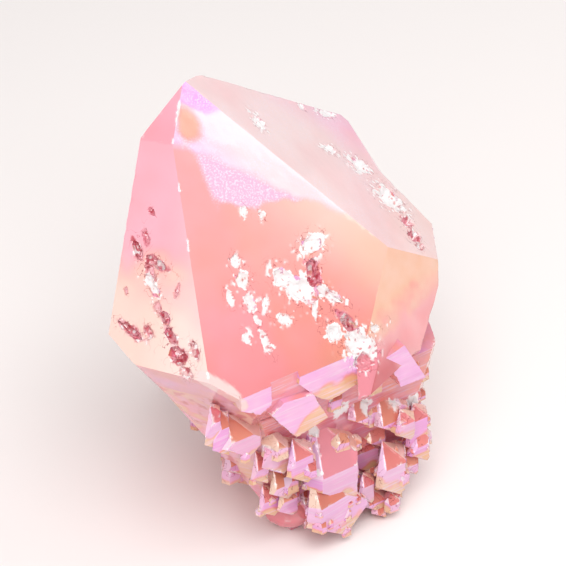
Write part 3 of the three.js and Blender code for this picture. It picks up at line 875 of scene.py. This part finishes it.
# painted sparkle in the sheen, in its speckles and on the right face
paint(1.0, spark=speckled + in_veil + 0.4 * right * eased(cloud, -0.3, 0.6))
for name, value in values.items():
    print(name, "from", value.min().round(2), "to", value.max().round(2))

# %% [markdown]
# ## The piece
# The arrays become one mesh. It stands for the whole crystal, because a crystal that grew as one is one
# piece. Where small points meet, the union can close off a pocket finer than a hair, which nothing outside
# can see. So only the largest shell is kept.

# %% The outer shell
one, two = fine_triangles[:, :2].ravel(), fine_triangles[:, 1:].ravel()
shell_of = gathered(len(skin), one, two)[fine_triangles[:, 0]]
outer = shell_of == np.bincount(shell_of).argmax()
print((~outer).sum(), "triangles in closed pockets are left out")

# %% Building the mesh
mesh = bpy.data.meshes.new("crystal_skin")
mesh.from_pydata((skin * MM).tolist(), [], fine_triangles[outer].tolist())
for name, value in values.items():
    layer = mesh.attributes.new(name, "FLOAT", "CORNER")
    layer.data.foreach_set("value", np.clip(value, 0, 1).astype(np.float32)[np.repeat(outer, 3)])
mesh.polygons.foreach_set("use_smooth", np.ones(len(mesh.polygons), dtype=bool))
mesh.set_sharp_from_angle(angle=math.radians(32))  # flatter edges are shaded smooth
crystal = placed("crystal_skin", mesh)
print(len(mesh.vertices), "corners,", len(mesh.polygons), "triangles")

# %% [markdown]
# ## Materials
# Colours are written as the hex values that a screen shows. Blender's nodes want linear light, so one
# function turns them over. Another adds a node with its settings and links, to keep each material short to
# read.


# %% Colour and node helpers
def linear(code):
    """Linear red, green, blue and alpha of an sRGB hex colour: about the 2.4th power of each value."""
    parts = [int(code[k : k + 2], 16) / 255 for k in (1, 3, 5)]
    return tuple(c / 12.92 if c <= 0.04045 else ((c + 0.055) / 1.055) ** 2.4 for c in parts) + (1.0,)


def add(tree, kind, settings=None, **sockets):
    """Adds a node of a kind. `settings` are its own options. Each socket is given by its name, with _ for a
    space, or by its number after a _, and takes a value, an output, or another node's first output."""
    made = tree.nodes.new(kind)
    for name, value in (settings or {}).items():
        setattr(made, name, value)
    for name, value in sockets.items():
        socket = made.inputs[int(name[1:])] if name[0] == "_" else made.inputs[name.replace("_", " ")]
        if isinstance(value, bpy.types.Node):
            value = value.outputs[0]
        if isinstance(value, bpy.types.NodeSocket):
            tree.links.new(value, socket)
        else:
            socket.default_value = value
    return made


def new_material(name):
    """An empty node material, and its tree."""
    made = bpy.data.materials.new(name)
    made.use_nodes = True
    made.node_tree.nodes.clear()
    return made, made.node_tree


# %% [markdown]
# The coated quartz is see-through stone under a glossy film. To the eye it is pastel and glowing: light
# goes in at the pale faces, and comes out rosy at the small points. A Principled shader gives it quartz's
# refraction, part transmission for the stone and part plain colour for the film. The seven values on the
# mesh choose the colour, and some of them paint sheen, reflection, shade, glints and sparkle into it.
# Broken places are white and rough, because there the film is gone, and their white is also a painted
# highlight.

# %% Aura film over quartz
QUARTZ_IOR = 1.544
FILM_COLOURS = {
    0.0: "#f3c684",
    0.18: "#f6ad80",
    0.36: "#f99580",
    0.52: "#fb8e9a",
    0.68: "#fc9ac0",
    0.84: "#f69be8",
    1.0: "#ecbdf8",
}
aura, tree = new_material("aura film over quartz")

# %% What the mesh says
value = {name: add(tree, "ShaderNodeAttribute", {"attribute_name": name}).outputs["Fac"] for name in values}

# %% Fine patterns
PATTERNS = {  # the size of a patch in mm, its stretch along X, Y and Z, and how much finer noise lies on it
    "level lines": (0.5, (12, 12, 0.5), 3.0),
    "cracks": (1.1, (1, 1, 1.6), 2.0),
    "glitter": (0.22, (1, 1, 1), 3.0),
    "grain": (0.3, (1, 1, 1), 3.0),
}
spot = add(tree, "ShaderNodeTexCoord").outputs["Object"]
pattern = {}
for name, (size, stretch, detail) in PATTERNS.items():
    scale = tuple(1 / (size * MM * along) for along in stretch)
    where = add(tree, "ShaderNodeMapping", Vector=spot, Scale=scale)
    pattern[name] = add(tree, "ShaderNodeTexNoise", Vector=where, Scale=1.0, Detail=detail).outputs["Fac"]

# %% Marks: where a pattern lies between two values, and as strong as the mesh says
off_middle = add(tree, "ShaderNodeMath", {"operation": "SUBTRACT"}, _0=pattern["cracks"], _1=0.5)
thin_lines = add(tree, "ShaderNodeMath", {"operation": "ABSOLUTE"}, _0=off_middle)
MARKS = {
    "cracks": (thin_lines, 0.014, 0.004, 0.8, "broken"),
    "glitter": (pattern["glitter"], 0.5, 0.62, 1.0, "spark"),
    "stripes": (pattern["level lines"], 0.52, 0.66, 0.6, "striped"),
}
share = {}
for name, (source, low, high, strength, where) in MARKS.items():
    shown = add(tree, "ShaderNodeMapRange", Value=source, From_Min=low, From_Max=high, To_Max=strength)
    share[name] = add(tree, "ShaderNodeMath", {"operation": "MULTIPLY"}, _0=shown, _1=value[where])

# %% The colours: each layer lies over the ones before it
ramp = add(tree, "ShaderNodeValToRGB", _0=value["film"])
while len(ramp.color_ramp.elements) < len(FILM_COLOURS):
    ramp.color_ramp.elements.new(0.5)
for element, (position, code) in zip(ramp.color_ramp.elements, FILM_COLOURS.items()):
    element.position, element.color = position, linear(code)
LAYERS = [
    # pale film, and painted sheen and reflection
    ("MIX", value["pale"], "#fff0ea"),
    ("MIX", share["stripes"], "#f7d9f2"),
    # deeper colour, and painted shade
    ("MULTIPLY", value["deep"], "#c2405a"),
    ("MULTIPLY", share["cracks"], "#a0405a"),
    # painted sparkle
    ("MIX", share["glitter"], "#fbeafb"),
    # white broken skin, and painted glints and highlights
    ("MIX", value["frost"], "#ffffff"),
]
colour = ramp.outputs["Color"]
for kind, amount, code in LAYERS:
    options = {"data_type": "RGBA", "blend_type": kind}
    colour = add(tree, "ShaderNodeMix", options, _0=amount, _6=colour, _7=linear(code)).outputs[2]
roughness = add(tree, "ShaderNodeMapRange", Value=value["frost"], To_Min=0.14, To_Max=0.5)
relief = add(tree, "ShaderNodeMath", {"operation": "ADD"}, _0=pattern["grain"], _1=share["stripes"])
bump = add(tree, "ShaderNodeBump", Strength=0.25, Distance=0.03 * MM, Height=relief)

# %% The shader
shader = add(
    tree,
    "ShaderNodeBsdfPrincipled",
    Base_Color=colour,
    Roughness=roughness,
    Normal=bump,
    IOR=QUARTZ_IOR,
    Transmission_Weight=0.3,
    Coat_Weight=0.5,
    Coat_Roughness=0.08,
    Coat_IOR=1.8,
)
add(tree, "ShaderNodeOutputMaterial", Surface=shader)
mesh.materials.append(aura)
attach(crystal, "root")
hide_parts("quartz_crystal")

# %% [markdown]
# ## Floor, light and camera
# A plain pale floor, a soft white sky and four large soft lights. The key light is high in front, and the
# card behind lets some light come through the stone.

# %% Floor
floor_mesh = bpy.data.meshes.new("floor")
floor_mesh.from_pydata([(-3, -3, 0), (3, -3, 0), (3, 3, 0), (-3, 3, 0)], [], [(0, 1, 2, 3)])
floor = placed("floor", floor_mesh)
paper, tree = new_material("matt white paper")
shader = add(tree, "ShaderNodeBsdfPrincipled", Base_Color=linear("#f1ebe9"), Roughness=0.9)
add(tree, "ShaderNodeOutputMaterial", Surface=shader)
floor_mesh.materials.append(paper)
floor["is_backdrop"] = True

# %% Light
world = bpy.data.worlds.new("soft sky")
world.use_nodes = True
world.node_tree.nodes["Background"].inputs["Color"].default_value = linear("#ffffff")
world.node_tree.nodes["Background"].inputs["Strength"].default_value = 0.58
bpy.context.scene.world = world


def soft_light(name, azimuth, height, distance, width, watts):
    """A square white light, its distance and width in metres, that looks at the middle of the crystal's foot
    from an azimuth and a height in degrees."""
    data = bpy.data.lights.new(name, "AREA")
    data.size, data.energy = width, watts
    lamp = placed(name, data)
    lamp.location = looking(azimuth, height) * distance
    lamp.rotation_euler = (math.radians(90 - height), 0, math.radians(azimuth))
    lamp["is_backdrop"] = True
    print(name, "at", [round(v, 3) for v in lamp.location])


soft_light("key light", 5, 58, 0.34, 0.22, 0.74)
soft_light("right fill", 100, 45, 0.4, 0.25, 0.35)
soft_light("back card", 150, 15, 0.5, 0.5, 0.2)
soft_light("front fill", -25, 24, 0.45, 0.4, 0.35)

# %% Camera
DISTANCE, DOWN = 392, 36.5  # mm from what it looks at, and degrees below the level
data = bpy.data.cameras.new("camera")
data.lens = 199.5  # mm, a long lens, so that near and far parts keep their sizes
camera = placed("camera", data)
target = np.array([HEART[0], HEART[1], 28.0])  # mm, above the heart
camera.location = (target + DISTANCE * looking(0.0, DOWN)) * MM
camera.rotation_euler = (math.radians(90 - DOWN), 0, 0)
bpy.context.scene.camera = camera
bpy.context.scene.view_settings.view_transform = "Standard"

new_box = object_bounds()
for name, box in {"CAD": cad_box, "visual": new_box}.items():
    print(name, "box, m:", [[round(v, 5) for v in corner] for corner in box])
